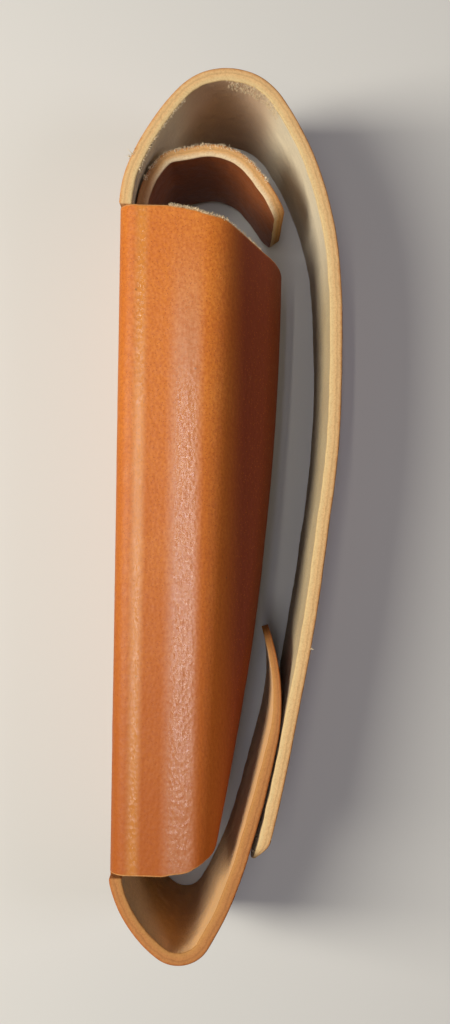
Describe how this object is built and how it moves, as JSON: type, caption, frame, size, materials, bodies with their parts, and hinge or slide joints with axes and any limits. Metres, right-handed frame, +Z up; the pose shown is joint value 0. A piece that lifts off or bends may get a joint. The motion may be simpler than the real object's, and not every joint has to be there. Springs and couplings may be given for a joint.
{
  "type": "fountain pen case",
  "caption": "Thick tan leather wrap case for one fountain pen, with a fold-over cover, a tuck-in tongue, a curled side wing and a lined hood.",
  "frame": {"origin": "centre of the case's box on the surface that its far long edge rests on", "axes": "+Y runs from the bottom fold to the top fold, +X from the back panel to the cover, +Z up across the strip"},
  "size_m": [0.0428, 0.1702, 0.04],
  "materials": {
    "outer_hide": "satin grain outside, napped flesh inside, raw cut edges",
    "lining_hide": "grain side inwards, raw cut edges"
  },
  "bodies": {
    "back": {"back_panel": "outer_hide", "lining_panel": "lining_hide"},
    "cover_back": {"cover_rise": "outer_hide", "cover_slope": "outer_hide", "crown_back": "outer_hide"},
    "cover_top": {"crown_front": "outer_hide"},
    "cover": {"cover_shoulder": "outer_hide", "cover_front_upper": "outer_hide", "cover_front_lower": "outer_hide", "cover_flap": "outer_hide", "cover_end": "outer_hide"},
    "tongue_foot": {"heel_root": "outer_hide", "heel": "outer_hide", "toe_back": "outer_hide"},
    "tongue": {"toe_front": "outer_hide", "tongue_rise": "outer_hide", "tongue_panel": "outer_hide", "tongue_end_tab": "outer_hide"},
    "hood": {"hood_root": "lining_hide", "hood_brow": "lining_hide", "hood_top": "lining_hide", "hood_crown": "lining_hide", "hood_front": "lining_hide", "hood_end_tab": "lining_hide"},
    "wing": {"wing_fold": "outer_hide", "wing_side": "outer_hide"},
    "wing_front": {"wing_front_bend": "outer_hide", "wing_front_panel": "outer_hide", "wing_free_edge": "outer_hide"}
  },
  "joints": [
    {"name": "cover_root", "type": "hinge", "parent": "back", "child": "cover_back", "pos_m": [-0.02138, 0.0584, 0], "axis": [0, 0, 1], "range_deg": [0, 35]},
    {"name": "cover_crown", "type": "hinge", "parent": "cover_back", "child": "cover_top", "pos_m": [-0.00121, 0.08512, 0], "axis": [0, 0, 1], "range_deg": [0, 59.5]},
    {"name": "cover_shoulder", "type": "hinge", "parent": "cover_top", "child": "cover", "pos_m": [0.00944, 0.07958, 0], "axis": [0, 0, 1], "range_deg": [0, 56]},
    {"name": "tongue_heel", "type": "hinge", "parent": "back", "child": "tongue_foot", "pos_m": [-0.02138, -0.0686, 0], "axis": [0, 0, -1], "range_deg": [0, 42]},
    {"name": "tongue_toe", "type": "hinge", "parent": "tongue_foot", "child": "tongue", "pos_m": [-0.00797, -0.08512, 0], "axis": [0, 0, -1], "range_deg": [0, 77]},
    {"name": "hood_lift", "type": "hinge", "parent": "back", "child": "hood", "pos_m": [-0.01868, 0.0584, 0], "axis": [0, 0, 1], "range_deg": [0, 21]},
    {"name": "wing_spread", "type": "hinge", "parent": "back", "child": "wing", "pos_m": [-0.02138, 0, 0.0366], "axis": [0, -1, 0], "range_deg": [0, 77]},
    {"name": "wing_curl", "type": "hinge", "parent": "wing", "child": "wing_front", "pos_m": [-0.00563, -0.00595, 0.04], "axis": [-0.0365, -0.9993, 0], "range_deg": [0, 35]}
  ],
  "couplings": [
    {"joint": "cover_crown", "follows": "cover_root", "ratio": 1.7},
    {"joint": "cover_shoulder", "follows": "cover_root", "ratio": 1.6},
    {"joint": "tongue_heel", "follows": "cover_root", "ratio": 1.2},
    {"joint": "tongue_toe", "follows": "cover_root", "ratio": 2.2},
    {"joint": "hood_lift", "follows": "cover_root", "ratio": 0.6},
    {"joint": "wing_spread", "follows": "cover_root", "ratio": 2.2},
    {"joint": "wing_curl", "follows": "cover_root", "ratio": 1}
  ]
}
